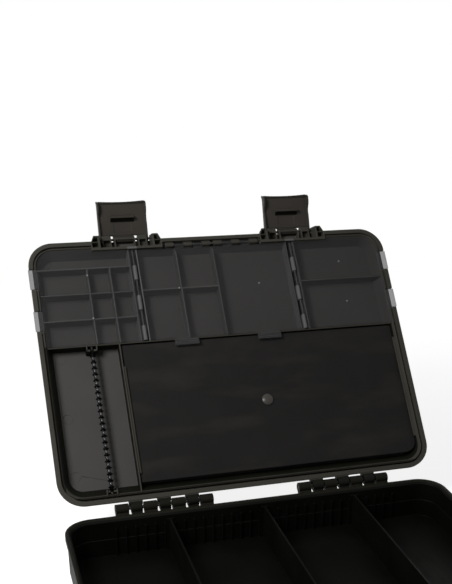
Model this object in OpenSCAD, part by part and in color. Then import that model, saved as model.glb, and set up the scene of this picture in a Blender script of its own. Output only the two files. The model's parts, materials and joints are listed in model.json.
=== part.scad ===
// Hinged flat tackle box, shown open. The lid leans back on its stop and holds
// small compartments under six clear doors, a foam rig board and a hook rail.
// The base holds three lift-out dividers. All lengths are in millimetres.

/* [Case] */
// Width across the rims
case_w = 360; // [350:1:370]
// Depth front to back across the rims
case_d = 257; // [255:1:262]
// Height of the base, from its flat bottom to the rim
base_h = 40; // [38:1:48]
// Corner radius of both rims
corner_r = 24; // [22:1:26]

/* [Lid] */
// Depth of the lid's inside, from its rim to its floor
lid_depth = 15; // [14:1:18]
// Thickness of the lid's top panel
lid_top = 2; // [2:0.2:3.2]
// How far the lid opens before its heels meet the base
lid_open = 130; // [110:1:130]
// Width of the lid's flat rim, outside its seal groove
lid_rim = 4.2; // [3.6:0.1:4.4]

/* [Hinges] */
// Length of one hinge knuckle with its gap
knuckle_pitch = 13; // [12:0.5:13.5]
// Distance from the case's middle to the inner end of each hinge
hinge_inner_x = 41; // [38:1:44]
// Radius of the hinge barrels
barrel_r = 4.6; // [4.4:0.1:4.8]

/* [Latches] */
// Distance from the case's middle to each latch
latch_x = 84.5; // [82.5:0.5:86]
// Width of a latch
latch_w = 48; // [48:0.5:49]
// Length of a latch from its pin to its tip
latch_len = 37.5; // [35:0.5:39]
// How far a latch swings up from shut to its stop
latch_swing = 68; // [60:1:72]

/* [Compartments] */
// Thickness of the clear doors
door_t = 1.6; // [1.4:0.2:1.6]
// Thickness of the walls between compartments
wall_t = 1.2; // [1:0.1:1.4]
// Distance from the rear rim to the wall behind the clear doors
bay_wall_v = 152; // [150:1:154]

/* [Base dividers] */
// Distance between the ribs that hold the dividers
rib_pitch = 8.9; // [8.7:0.1:9]
// Height of a divider
divider_h = 31; // [28:0.1:31.5]

/* [Hidden] */
$fn = 96;
eps = 0.01;
joined = 0.6; // how far pieces of one moulding run into each other

// the case
rear_y = case_d / 2;
base_floor = 3.4;
rim_band = 6; // height of the base's rim band
rim_lip_drop = 3; // how far the base's inner rim edge lies below the seam
wall_in_top = 5; // from the rim's outer edge to the upper inner wall
wall_in_low = 5.6; // the same below the ledge
ledge_z = base_h / 2;
base_chamfer = 2.2;
base_foot_in = 4.2; // how much smaller the resting face is, on each side
band_step = 1.5; // how far the rim band stands out from the wall under it

// the lid's frame: x across, v from the rear rim forwards, d from the rim into the lid
lid_h = lid_depth + lid_top;
lid_band = 2.8;
lid_band_step = 3;
lid_top_in = 10.3;
lid_edge_h = 2; // rounded-over edge of the top panel
lid_edge_in = 1.6;
groove_w = 1.6; // seal groove inside the rim
groove_deep = 3;
crest_in = lid_rim + groove_w;
crest_flat = 0.8;
crest_d = 0.9; // the groove's inner edge lies this far below the rim
floor_in_side = 12.7;
floor_in_rear = 17;
floor_in_front = 12.3;
floor_corner_r = 12;
panel_in = 32; // border round the recessed panel on the lid's outside
panel_deep = 0.6;

// the lid's hinges: 7 knuckles each, 4 on the base and 3 on the lid
knuckles = 7;
base_gap_left = 0.2; // from a knuckle's pitch line to the base's knuckle, and to the lid's arm
base_gap_right = 0.8;
arm_gap_left = 0.2;
arm_gap_right = 0.4;
lid_barrel_in = 1.4; // the lid's barrels are shorter than their arms, at each end
hinge_starts = [-hinge_inner_x - knuckles * knuckle_pitch, hinge_inner_x];
axis_back = 6; // axis behind the rear walls
axis_up = 2.8; // axis above the seam
axis_y = rear_y + axis_back;
axis_z = base_h + axis_up;
pin_r = 1.5;
pin_bore_r = 1.56;
pin_hold_r = 1.52;

// clear doors
door_d = 1; // from the seam to a door's outer face
wall_top_d = door_d + door_t + 0.4;
door_gap = 0.3;
rim_in_x = case_w / 2 - crest_in;
rim_in_v = case_d - crest_in;
door_in = 7.5; // from the rims' outer edge to a side door's edge
door_r = 2; // radius of a door's knuckles
wire_r = 0.9;
wire_bore_r = 0.96;
wire_hold_r = 0.92;
door_axis_d = door_d + door_t;
side_axis_x = 80.2;
channel_half = 4; // from a side axis to the middle of each channel wall
front_axis_v = case_d - 6.8;
front_hinge_half = 47.5;
front_pocket_v = case_d - 3.7;
door_front_v = case_d - 10.8;
door_rear_v = bay_wall_v + 0.6;
row_v = 204.5; // wall and door joint across the side bays
side_knuckles = 6;
side_knuckle_len = (door_front_v - door_rear_v) / side_knuckles;
front_knuckles = 5;
front_knuckle_len = (front_hinge_half - 1.2) / front_knuckles;
clip_out = case_w / 2 + 0.8;
clip_half = 9.8;
clip_upper_v = 221;
clip_lower_v = 178.7;
clip_gap = 0.5;
tab_x = 41.3;
tab_half = 11.5;
tab_len = 7.5;
tab_t = 2.2;

// the left bays' grid
grid_top_v = 230.5;
grid_row2_v = 178.3;
grid_col1_x = -126;
grid_col2_x = -104.4;
mid_col_x = -37.5;

// rod bay, board and stud
bay_divider_x = -105.7;
bay_divider_d = 2.2;
rod_x = -132;
rod_d = 4.2;
rod_core_r = 1.6;
rod_ring_r = 2.8;
rod_ring_t = 1.1;
rod_rings = 22;
rod_first_v = 15.6;
rod_pitch = 6;
rod_rear_v = 8.9;
rod_front_v = 150.6;
rod_seat_half = 4.6;
rod_seat_t = 1.8;
rod_fence_t = 0.9;
board_d = 5;
board_rear_v = 16.2;
board_gap = 0.4;
stud_x = 28;
stud_v = 84;
stud_r = 5.5;
stud_shank_r = 2;
stud_socket = 0.8;
lip_d = 3.2;
lip_t = 1.4;
lip_w = 2.1;
pin_mark_r = 4.6; // faint round marks on the rod bay's floor
pin_mark_deep = 0.2;

// latches and their brackets
latch_axis_v = case_d + 7;
latch_axis_d = 13;
latch_pin_r = 1.25;
latch_bore_r = 1.32;
latch_hold_r = 1.27;
latch_pin_half = 28.6;
latch_barrel_r = 3;
latch_t = 2;
latch_face = 1.2; // from the pin's axis to the latch plate's inner face
plate_s = 4.6; // from the pin to the near edge of the latch's plate, on its inner face
plate_out_s = 3.5; // the same on its outer face
flange_deep = 5.5;
flange_t = 1.6;
hook_s = 21.5; // from the pin to the hook rib
hook_half = 11.5;
hook_deep = 5.5;
hook_t = 2.2;
hook_rise = 4.6; // how far the hook rib's sloped side reaches up the plate
latch_barrel_half = 10.4; // half width of the latch's middle barrel
ear_in = 13.2; // a bracket's ears, from the latch's middle
ear_out = 22;
ear_r = 4.4; // round of an ear about the pin
ear_low_v = case_d - 3.6; // where the ears and the middle box begin
ear_d = latch_axis_d - ear_r;
middle_half = 10.2; // half width of the middle box
middle_t = 0.9; // thickness of its front plate
middle_rail = 1.7;
bracket_floor = 9;
bracket_wall = 1.2;
bracket_half = 34.5;
bracket_rear_v = case_d - 9.5;
bracket_v = bracket_rear_v + 1.5; // where the ears and wings grow out of the rear wall
wing_in = 25.4;
catch_half = 14;
catch_z = 33.2;
catch_t = 3.3;
catch_out = 4.5;

// dividers
rib_count = 15; // on each side of the middle rib
rib_t = 1.2;
rib_top = 30.6;
rib_in_top = 6.9;
rib_in_low = 7.4;
divider_t = 1.8;
divider_z = base_floor + 0.1;
divider_end_in = 5.9;
divider_end_t = 1.3;
divider_end_w = 7.1;
divider_slots = [-10, 0, 10]; // which rib gap each divider stands in

// ---- shared shapes ----

// A rectangle with round corners.
module outline(w, d, r) {
  square([w - 2 * r, d], center = true);
  square([w, d - 2 * r], center = true);
  for (sx = [-1, 1], sy = [-1, 1])
    translate([sx * (w / 2 - r), sy * (d / 2 - r)]) circle(r);
}

module slab(w, d, r, h) linear_extrude(h) outline(w, d, r);

// A block with round corners whose sides lean in by inset over its height.
module leaning(w, d, r, h, inset) {
  for (sx = [-1, 1], sy = [-1, 1])
    translate([sx * (w / 2 - r), sy * (d / 2 - r), 0])
      cylinder(h = h, r1 = r, r2 = r - inset);
  rotate([90, 0, 90]) translate([0, 0, r - w / 2]) linear_extrude(w - 2 * r)
    polygon([[-d / 2, 0], [d / 2, 0], [d / 2 - inset, h], [inset - d / 2, h]]);
  rotate([90, 0, 0]) translate([0, 0, r - d / 2]) linear_extrude(d - 2 * r)
    polygon([[-w / 2, 0], [w / 2, 0], [w / 2 - inset, h], [inset - w / 2, h]]);
}

// A box from corner to corner in the lid's frame: x, v and d.
module lid_box(x0, x1, v0, v1, d0, d1)
  translate([x0, -v1, d0]) cube([x1 - x0, v1 - v0, d1 - d0]);

// Puts a shape drawn in the lid's frame on the open lid.
module on_lid()
  translate([0, axis_y, axis_z]) rotate([-lid_open, 0, 0])
    translate([0, -axis_back, -axis_up]) children();

// A rod along X from x0 to x1.
module rod_x_axis(x0, x1, r)
  translate([x0, 0, 0]) rotate([0, 90, 0]) cylinder(h = x1 - x0, r = r);

// Extrudes a side outline, drawn as [y, z], from x0 to x1.
module side_shape(x0, x1, points)
  translate([x0, 0, 0]) rotate([90, 0, 90]) linear_extrude(x1 - x0) polygon(points);

// Where knuckle number i starts in the hinge that starts at x.
function knuckle_at(x, i) = x + i * knuckle_pitch;

// ---- base ----

module base_outside() {
  leaning(case_w - 2 * base_foot_in, case_d - 2 * base_foot_in, corner_r - base_foot_in,
    base_chamfer, -base_chamfer);
  translate([0, 0, base_chamfer])
    leaning(case_w - 2 * (base_foot_in - base_chamfer),
      case_d - 2 * (base_foot_in - base_chamfer),
      corner_r - base_foot_in + base_chamfer,
      base_h - rim_band - base_chamfer + joined, band_step - base_foot_in + base_chamfer);
  translate([0, 0, base_h - rim_band]) slab(case_w, case_d, corner_r, rim_band);
}

module base_inside() {
  translate([0, 0, base_floor])
    slab(case_w - 2 * wall_in_low, case_d - 2 * wall_in_low, corner_r - wall_in_low, base_h);
  translate([0, 0, ledge_z])
    slab(case_w - 2 * wall_in_top, case_d - 2 * wall_in_top, corner_r - wall_in_top, base_h);
  translate([0, 0, base_h - rim_lip_drop])
    leaning(case_w - 2 * wall_in_top, case_d - 2 * wall_in_top, corner_r - wall_in_top,
      rim_lip_drop + eps, -rim_lip_drop - eps);
}

// A base knuckle with the arm that carries it, from the rear wall up.
module base_knuckle(x) {
  x0 = x + base_gap_left;
  x1 = x + knuckle_pitch - base_gap_right;
  translate([0, axis_y, axis_z]) rod_x_axis(x0, x1, barrel_r);
  side_shape(x0, x1, [
    [rear_y - 1, base_h - rim_band + 1], [rear_y - 1, base_h - 0.4],
    [rear_y + 0.8, base_h - 0.4], [axis_y - 3.6, axis_z - 1.4], [axis_y - 1.8, axis_z - 1.2],
    [axis_y + 1.4, axis_z - 2.2], [axis_y + 2.9, axis_z - 3.05],
    [axis_y - 1.5, base_h - rim_band + 1]]);
}

// A ledge on the front wall, with a cheek at each end, that a latch hooks under.
module latch_catch() {
  translate([-catch_half, -rear_y - catch_out, catch_z])
    cube([2 * catch_half, catch_out + joined, catch_t]);
  for (s = [-1, 1])
    translate([s * (catch_half - 0.7) - 0.7, 0, 0])
      side_shape(0, 1.4, [[-rear_y + joined + band_step, catch_z - 6],
        [-rear_y + joined + band_step, catch_z + eps], [-rear_y - catch_out, catch_z + eps]]);
}

module divider_ribs() {
  for (k = [-rib_count:rib_count], s = [-1, 1]) {
    low_len = rib_in_low - wall_in_low + joined;
    top_len = rib_in_top - wall_in_top + joined;
    x = k * rib_pitch - rib_t / 2;
    translate([x, s > 0 ? rear_y - rib_in_low : rib_in_low - rear_y - low_len, base_floor - joined])
      cube([rib_t, low_len, ledge_z - base_floor + joined]);
    translate([x, s > 0 ? rear_y - rib_in_top : rib_in_top - rear_y - top_len, ledge_z - joined])
      cube([rib_t, top_len, rib_top - ledge_z + joined]);
  }
}

module base_shell() color([0.14, 0.14, 0.12]) {
  difference() {
    union() {
      base_outside();
      for (h = hinge_starts, i = [0:2:knuckles - 1]) base_knuckle(knuckle_at(h, i));
      for (s = [-1, 1]) translate([s * latch_x, 0, 0]) latch_catch();
    }
    base_inside();
    translate([0, axis_y, axis_z]) for (h = hinge_starts)
      rod_x_axis(h, knuckle_at(h, knuckles), pin_hold_r);
  }
  divider_ribs();
}

// ---- lid ----

module lid_outside() {
  translate([0, -case_d / 2, 0]) {
    slab(case_w, case_d, corner_r, lid_band);
    w = case_w - 2 * lid_band_step;
    d = case_d - 2 * lid_band_step;
    r = corner_r - lid_band_step;
    lean = lid_top_in - lid_edge_in - lid_band_step;
    side_h = lid_h - lid_band - lid_edge_h;
    translate([0, 0, lid_band - joined])
      slab(w, d, r, joined);
    translate([0, 0, lid_band]) leaning(w, d, r, side_h, lean);
    translate([0, 0, lid_band + side_h])
      leaning(w - 2 * lean, d - 2 * lean, r - lean, lid_edge_h, lid_edge_in);
  }
}

// A slab as large as the lid less inset on each side.
module lid_inset(inset, d0, d1)
  translate([0, -case_d / 2, d0])
    slab(case_w - 2 * inset, case_d - 2 * inset, corner_r - inset, d1 - d0);

// The hollow of the lid, whose walls slope in to the floor. Grow makes it larger all round.
module lid_hollow(grow = 0) {
  top_in = crest_in + crest_flat - grow;
  w = case_w - 2 * floor_in_side;
  d = case_d - floor_in_rear - floor_in_front;
  hull() {
    translate([0, -case_d / 2, crest_d - eps])
      linear_extrude(eps) outline(case_w - 2 * top_in, case_d - 2 * top_in, corner_r - top_in, $fn = 48);
    translate([0, -floor_in_rear - d / 2, lid_depth - eps])
      linear_extrude(eps) outline(w + 2 * grow, d + 2 * grow, floor_corner_r + grow, $fn = 48);
  }
}

// The groove inside the rim, and the lower ground within it.
module lid_groove() {
  lid_inset(crest_in, -1, crest_d);
  difference() {
    lid_inset(lid_rim, -1, groove_deep);
    lid_inset(crest_in, -2, groove_deep + 1);
  }
}

// Walls that stand on the lid's floor, each as [x0, x1, v0, v1, top].
half_t = wall_t / 2;
side_end = rim_in_x - 2;
function wall_across(x0, x1, v, top) = [x0, x1, v - half_t, v + half_t, top];
function wall_along(x, v0, v1, top) = [x - half_t, x + half_t, v0, v1, top];
channel_in = side_axis_x - channel_half;
channel_out = side_axis_x + channel_half;
lid_walls = [
  wall_across(-side_end, side_end, bay_wall_v, wall_top_d),
  wall_along(-channel_out, bay_wall_v, rim_in_v, wall_top_d),
  wall_along(-channel_in, bay_wall_v, rim_in_v, wall_top_d),
  wall_along(channel_in, bay_wall_v, rim_in_v, wall_top_d),
  wall_along(channel_out, bay_wall_v, rim_in_v, wall_top_d),
  wall_along(0, bay_wall_v, rim_in_v, wall_top_d),
  wall_across(-side_end, -channel_out, grid_top_v, wall_top_d),
  wall_across(-side_end, -channel_out, row_v, wall_top_d),
  wall_across(-side_end, -channel_out, grid_row2_v, wall_top_d),
  wall_along(grid_col1_x, bay_wall_v, grid_top_v, wall_top_d),
  wall_along(grid_col2_x, bay_wall_v, grid_top_v, wall_top_d),
  wall_along(mid_col_x, bay_wall_v, rim_in_v, wall_top_d),
  wall_across(-channel_in, 0, row_v, wall_top_d),
  wall_across(channel_out, side_end, row_v, wall_top_d),
  wall_along(bay_divider_x, crest_in + 2, bay_wall_v, bay_divider_d)];

// The lid's knuckle with its arm and the heel that stops it against the base.
module lid_knuckle(x) {
  x0 = x + lid_barrel_in;
  x1 = x + knuckle_pitch - lid_barrel_in;
  translate([0, axis_back, axis_up]) rod_x_axis(x0, x1, barrel_r);
  side_shape(x + arm_gap_left, x + knuckle_pitch - arm_gap_right, [
    [-1, 0.3], [-1, lid_band - 0.6], [-lid_band_step - 1, lid_band - 0.6],
    [-lid_band_step - 1, lid_band + 1.2], [axis_back - 2, axis_up + 3.8], [axis_back - 2.4, axis_up],
    [axis_back - 3.4, 0.3]]);
  translate([0, axis_back, axis_up]) rotate([lid_open, 0, 0])
    side_shape(x0 + 0.3, x1 - 0.3, [
      [-1.6, -1.4], [0.15 - axis_back, -axis_up - 0.3], [0.15 - axis_back, -axis_up - 2.6],
      [-1, 0.2 - barrel_r]]);
}

// Outline of half a latch bracket's wing, seen from the rim, as [x, v].
wing_front_v = bracket_v + 13.7;
wing = [[wing_in, bracket_v], [wing_in, wing_front_v - 3.7], [wing_in + 0.9, wing_front_v],
  [bracket_half - 3.1, wing_front_v], [bracket_half, wing_front_v - 7.2], [bracket_half, bracket_v]];
wing_rib_v = bracket_v + 7;
wing_pocket = [[wing_in + 2, wing_rib_v + 0.4], [wing_in + 2, wing_front_v - 1.5],
  [bracket_half - 3.7, wing_front_v - 1.5], [bracket_half - 1.4, wing_rib_v + 0.4]];
wing_pocket_low = [[wing_in + 2, bracket_v + 1.6], [wing_in + 2, wing_rib_v - 0.5],
  [bracket_half - 1.3, wing_rib_v - 0.5], [bracket_half - 1.3, bracket_v + 1.6]];

// The space that a bracket takes out of the rim.
module bracket_space()
  lid_box(1 - bracket_half, bracket_half - 1, bracket_rear_v, case_d + 2, -1, lid_h - 1.4);

// A box-shaped ear, round about the latch's pin.
module bracket_ear() {
  intersection() {
    union() {
      translate([0, -latch_axis_v, latch_axis_d]) rod_x_axis(ear_in, ear_out, ear_r);
      lid_box(ear_in, ear_out, ear_low_v, latch_axis_v, ear_d, lid_h);
      lid_box(ear_in, ear_out, bracket_v, ear_low_v + 1, latch_axis_d - 0.5, lid_h);
    }
    lid_box(ear_in - 1, ear_out + 1, bracket_rear_v, case_d + 20, 0, lid_h - 0.2);
  }
}

// The middle box: an open frame in front of the latch's barrel, with a sill inside.
module bracket_middle() {
  top_v = latch_axis_v - 0.1;
  frame_d = latch_axis_d - latch_barrel_r - 0.2;
  difference() {
    lid_box(-middle_half, middle_half, ear_low_v, top_v, frame_d - middle_t, frame_d);
    lid_box(bracket_wall - middle_half, middle_half - bracket_wall, ear_low_v + bracket_wall,
      top_v - middle_rail, 0, frame_d + 1);
  }
  for (s = [-1, 1])
    translate([s * (middle_half - bracket_wall / 2) - bracket_wall / 2, 0, 0])
      lid_box(0, bracket_wall, bracket_v, latch_axis_v - latch_barrel_r - 0.7,
        frame_d - middle_t, lid_h - 1);
  lid_box(-middle_half, middle_half, bracket_v, ear_low_v + bracket_wall, frame_d - middle_t, lid_h - 1);
  lid_box(bracket_wall / 2 - middle_half, middle_half - bracket_wall / 2, bracket_v,
    ear_low_v + 3, frame_d + 2.2, lid_h - 1);
}

// A latch bracket: a wall behind, two wings that hold the pin's ends, and boxes between them.
module latch_bracket() {
  difference() {
    union() {
      lid_box(-bracket_half, bracket_half, bracket_rear_v, bracket_rear_v + 2.6, 0, lid_h - 1);
      for (s = [0, 1]) mirror([s, 0, 0]) {
        mirror([0, 1, 0]) linear_extrude(bracket_floor) polygon(wing);
        // the wing's inner plate, up to the pin
        side_shape(wing_in, wing_in + 2, [[-bracket_v, 0.2], [0.1 - wing_front_v, 0.2],
          [-latch_axis_v - 3, latch_axis_d - 1], [-latch_axis_v - 2, latch_axis_d + 2.6],
          [-latch_axis_v + 2, latch_axis_d + 3.2], [-bracket_v, lid_h - 1]]);
        translate([0, -latch_axis_v, latch_axis_d])
          rod_x_axis(wing_in, latch_pin_half, latch_pin_r + 1.9);
        bracket_ear();
      }
      bracket_middle();
      // panel behind the ears and the middle box, stepped out past the latch's barrel
      lid_box(-bracket_half, bracket_half, bracket_v, latch_axis_v - 4.4, lid_h - 2, lid_h - 0.7);
      lid_box(-bracket_half, bracket_half, latch_axis_v - 8, latch_axis_v - 0.6, lid_h - 0.8, lid_h + 0.2);
    }
    // pockets that the rim side shows
    for (s = [0, 1]) mirror([s, 0, 0]) {
      mirror([0, 1, 0]) translate([0, 0, -1]) {
        linear_extrude(bracket_floor) polygon(wing_pocket);
        linear_extrude(bracket_floor) polygon(wing_pocket_low);
      }
      lid_box(ear_in + bracket_wall, ear_out - bracket_wall, ear_low_v + bracket_wall,
        latch_axis_v - latch_hold_r - bracket_wall, -1, latch_axis_d + 1);
    }
    translate([0, -latch_axis_v, latch_axis_d])
      rod_x_axis(-latch_pin_half, latch_pin_half, latch_hold_r);
  }
}

// Supports in a side channel that hold the wire between the doors' knuckles.
module channel_posts(side) {
  for (i = [0:2:side_knuckles - 1]) {
    v0 = door_rear_v + i * side_knuckle_len + door_gap;
    v1 = v0 + side_knuckle_len - 2 * door_gap;
    x = side * side_axis_x;
    lid_box(x - door_r, x + door_r, v0, v1, door_axis_d, lid_depth + joined);
    translate([x, -v0, door_axis_d]) rotate([90, 0, 0]) cylinder(h = v1 - v0, r = door_r);
  }
}

// Supports in the front pocket that hold the middle doors' wire.
module front_posts() {
  for (s = [0, 1], i = [0:2:front_knuckles - 1]) mirror([s, 0, 0]) {
    x0 = 1.2 + i * front_knuckle_len + door_gap;
    x1 = x0 + front_knuckle_len - 2 * door_gap;
    translate([0, -front_axis_v, door_axis_d]) rod_x_axis(x0, x1, door_r);
    side_shape(x0, x1, [[-front_axis_v + door_r, door_axis_d], [-front_axis_v + door_r, 7],
      [-front_pocket_v - 0.5, 7], [-front_pocket_v - 0.5, door_axis_d]]);
  }
}

// Seats and fences that hold the hook rail's two ends.
module rail_holders() {
  for (end = [[5, 13.4, 10.4], [bay_wall_v - 5, bay_wall_v, 146.4]]) {
    for (s = [-1, 1])
      lid_box(rod_x + s * rod_seat_half - rod_fence_t / 2, rod_x + s * rod_seat_half + rod_fence_t / 2,
        end[0], end[1], 1.6, lid_depth + joined);
    lid_box(rod_x - rod_seat_half, rod_x + rod_seat_half, end[2], end[2] + rod_seat_t,
      rod_d - 1.4, lid_depth + joined);
  }
}

module lid_shell() color([0.27, 0.265, 0.235]) on_lid() difference() {
  union() {
    difference() {
      union() {
        difference() {
          lid_outside();
          lid_hollow();
          lid_groove();
        }
        // thicker wall in front of the middle doors' hinge
        lid_box(-front_hinge_half - 1.8, front_hinge_half + 1.8, case_d - 6.2, case_d - 1.2, lid_band - 1, 7.6);
        intersection() {
          lid_outside();
          union() {
            for (w = lid_walls) lid_box(w[0], w[1], w[2], w[3], w[4], lid_depth + joined);
            rail_holders();
            // lips over the board's two sides
            lid_box(bay_divider_x, bay_divider_x + half_t + lip_w, 25, 129, lip_d, lip_d + lip_t);
            lid_box(case_w / 2 - 10.4, case_w / 2 - 6, 32, 137, lip_d, lip_d + lip_t);
          }
        }
      }
      // room for the middle doors' hinge, the side doors' clips and the brackets
      lid_box(-front_hinge_half - 1, front_hinge_half + 1, front_axis_v - 5.7, front_pocket_v, -1, 6.2);
      for (s = [-1, 1], v = [clip_upper_v, clip_lower_v])
        lid_box(s > 0 ? rim_in_x - 4 : -case_w / 2 - 1, s > 0 ? case_w / 2 + 1 : 4 - rim_in_x,
          v - clip_half - clip_gap, v + clip_half + clip_gap, -1, wall_top_d);
      for (s = [-1, 1]) translate([s * latch_x, 0, 0]) bracket_space();
    }
    for (s = [-1, 1]) channel_posts(s);
    front_posts();
    for (s = [-1, 1]) translate([s * latch_x, 0, 0]) latch_bracket();
    for (h = hinge_starts, i = [1:2:knuckles - 2]) lid_knuckle(knuckle_at(h, i));
  }
  // bores, sockets and shallow marks
  translate([0, axis_back, axis_up]) for (h = hinge_starts)
    rod_x_axis(h, knuckle_at(h, knuckles), pin_bore_r);
  for (s = [-1, 1])
    translate([s * side_axis_x, -door_rear_v + 2, door_axis_d]) rotate([90, 0, 0])
      cylinder(h = door_front_v - door_rear_v + 4, r = wire_hold_r);
  translate([0, -front_axis_v, door_axis_d])
    rod_x_axis(-front_hinge_half - 0.5, front_hinge_half + 0.5, wire_hold_r);
  translate([rod_x, -rod_rear_v + 0.2, rod_d]) rotate([90, 0, 0])
    cylinder(h = rod_front_v - rod_rear_v + 0.4, r = rod_core_r + 0.02);
  lid_box(rod_x - rod_core_r, rod_x + rod_core_r, rod_rear_v - 0.2, rod_front_v + 0.2, 0, rod_d);
  translate([stud_x, -stud_v, lid_depth - 1]) cylinder(h = stud_socket + 1, r = stud_shank_r + 0.02);
  for (v = [144, 86, 31])
    translate([-161.2, -v, lid_depth - 1]) cylinder(h = 1 + pin_mark_deep, r = pin_mark_r);
  translate([0, -case_d / 2, lid_h - panel_deep])
    slab(case_w - 2 * panel_in, case_d - 2 * panel_in, corner_r - 10, panel_deep + 1);
}

module hinge_pin(x) color([0.1, 0.1, 0.1]) translate([0, axis_y, axis_z])
  rod_x_axis(x + 0.6, knuckle_at(x, knuckles) - 1.6, pin_r);
module hinge_pin_left() hinge_pin(hinge_starts[0]);
module hinge_pin_right() hinge_pin(hinge_starts[1]);

// ---- latches ----

// Drawn hanging shut from its pin: y points into the case, z up the wall.
module latch_shut() {
  half = latch_w / 2;
  out = -latch_face - latch_t; // the outer face, away from the case
  lip = flange_deep - latch_face;
  difference() {
    union() {
      // plate, with its tip curled outwards
      side_shape(-half, half, [[out, -plate_out_s], [-latch_face, -plate_s], [-latch_face, 4 - latch_len],
        [-latch_face - 0.7, 1.6 - latch_len], [-latch_face - 2.2, -latch_len],
        [out - 2.4, -latch_len], [out - 2.2, 1.4 - latch_len], [out - 0.8, 2.6 - latch_len],
        [out, 5 - latch_len]]);
      // middle barrel
      rod_x_axis(-latch_barrel_half, latch_barrel_half, latch_barrel_r);
      side_shape(-latch_barrel_half, latch_barrel_half,
        [[out, -1], [-1.8, -1], [-latch_face, -plate_s - 0.4], [out, -plate_s - 0.4]]);
      for (s = [0, 1]) mirror([s, 0, 0]) {
        // side flange: an eye round the pin, a waist beside the hook, a lobe at the tip
        rod_x_axis(half - flange_t, half, latch_barrel_r - 0.3);
        side_shape(half - flange_t, half, [[out, -0.5], [2.6, -0.5], [2.4, -5.5], [1.6, 5 - hook_s],
          [0.9, 1.6 - hook_s], [0.9, -0.6 - hook_s], [1.9, -2.8 - hook_s], [lip - 0.7, -5.4 - hook_s],
          [lip, -8.4 - hook_s], [lip - 0.3, 3.4 - latch_len], [1.8, 1.2 - latch_len],
          [-latch_face - 1, 0.4 - latch_len], [out, 2.4 - latch_len]]);
      }
      // hook rib
      side_shape(-hook_half, hook_half, [[-latch_face - eps, -hook_s - 2.6],
        [lip, -hook_s - 0.4], [lip, -hook_s + hook_t / 2], [2.3, -hook_s + hook_t / 2],
        [-latch_face - eps, -hook_s + hook_rise]]);
    }
    rod_x_axis(-half - 1, half + 1, latch_bore_r);
    // shallow hollow along the tip
    translate([0, -30, -latch_len - 249]) rotate([90, 0, 0])
      cylinder(h = 100, r = 250, center = true, $fn = 360);
    // shallow panel on the inner face
    translate([-8.5, -latch_face - 0.3, -hook_s + hook_rise + 0.6]) cube([17, 1, 9]);
  }
}

module latch(side) color([0.22, 0.21, 0.19]) on_lid()
  translate([side * latch_x, -latch_axis_v, latch_axis_d]) rotate([-latch_swing, 0, 0]) latch_shut();
module latch_left() latch(-1);
module latch_right() latch(1);

module latch_pin(side) color([0.1, 0.1, 0.1]) on_lid()
  translate([side * latch_x, -latch_axis_v, latch_axis_d])
    rod_x_axis(-latch_pin_half + 0.3, latch_pin_half - 0.3, latch_pin_r);
module latch_pin_left() latch_pin(-1);
module latch_pin_right() latch_pin(1);

// ---- clear doors ----

// A side door on the left. It turns on the knuckles from first to last.
module side_door(v0, v1, clip_v, first) {
  reach = clip_half - 0.2;
  difference() {
    intersection() {
      lid_box(-case_w / 2, -side_axis_x, v0, v1, door_d, door_d + door_t);
      lid_inset(door_in, 0, 9);
    }
    lid_box(-latch_x - bracket_half - 0.4, 0, bracket_rear_v - 0.4, case_d, 0, 9);
    // room for the supports' knuckles
    lid_box(-side_axis_x - door_r - 0.5, 0, 0, case_d, 0, 9);
  }
  lid_box(-clip_out, -rim_in_x + 4, clip_v - reach, clip_v + reach, door_d - 0.4, door_d + door_t - 0.2);
  lid_box(-clip_out, -clip_out + 1.6, clip_v - reach, clip_v + reach, door_d - 0.6, door_d + door_t - 0.2);
  for (i = [first:2:first + 2]) if (i < side_knuckles) {
    a = door_rear_v + i * side_knuckle_len + door_gap;
    b = a + side_knuckle_len - 2 * door_gap;
    lo = max(a, v0);
    hi = min(b, v1);
    if (hi > lo) difference() {
      union() {
        lid_box(-side_axis_x - door_r - 1.5, -side_axis_x, lo, hi, door_d, door_axis_d);
        translate([-side_axis_x, -lo, door_axis_d]) rotate([90, 0, 0]) cylinder(h = hi - lo, r = door_r);
      }
      translate([-side_axis_x, -lo + 1, door_axis_d]) rotate([90, 0, 0])
        cylinder(h = hi - lo + 2, r = wire_bore_r);
    }
  }
}

module front_side_door() side_door(row_v + door_gap, case_d, clip_upper_v, 3);
module rear_side_door() side_door(door_rear_v, row_v - door_gap, clip_lower_v, 1);

// A middle door on the left, hinged at the front rim, with a finger tab behind.
module middle_door() {
  lid_box(-channel_in + half_t + door_gap, -door_gap, door_rear_v, door_front_v, door_d, door_d + door_t);
  lid_box(-tab_x - tab_half, -tab_x + tab_half, door_rear_v - tab_len, door_rear_v + 2,
    door_d - 0.7, door_d - 0.7 + tab_t);
  for (i = [1:2:front_knuckles - 1]) mirror([1, 0, 0]) {
    x0 = 1.2 + i * front_knuckle_len + door_gap;
    x1 = x0 + front_knuckle_len - 2 * door_gap;
    difference() {
      union() {
        translate([0, -front_axis_v, door_axis_d]) rod_x_axis(x0, x1, door_r);
        lid_box(x0, x1, door_front_v - 1, front_axis_v, door_d, door_axis_d);
      }
      translate([0, -front_axis_v, door_axis_d]) rod_x_axis(x0 - 1, x1 + 1, wire_bore_r);
    }
  }
}

module clear() color([0.6, 0.6, 0.6, 0.4]) on_lid() children();
module door_left_front() clear() front_side_door();
module door_left_rear() clear() rear_side_door();
module door_right_front() clear() mirror([1, 0, 0]) front_side_door();
module door_right_rear() clear() mirror([1, 0, 0]) rear_side_door();
module door_middle_left() clear() middle_door();
module door_middle_right() clear() mirror([1, 0, 0]) middle_door();

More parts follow.
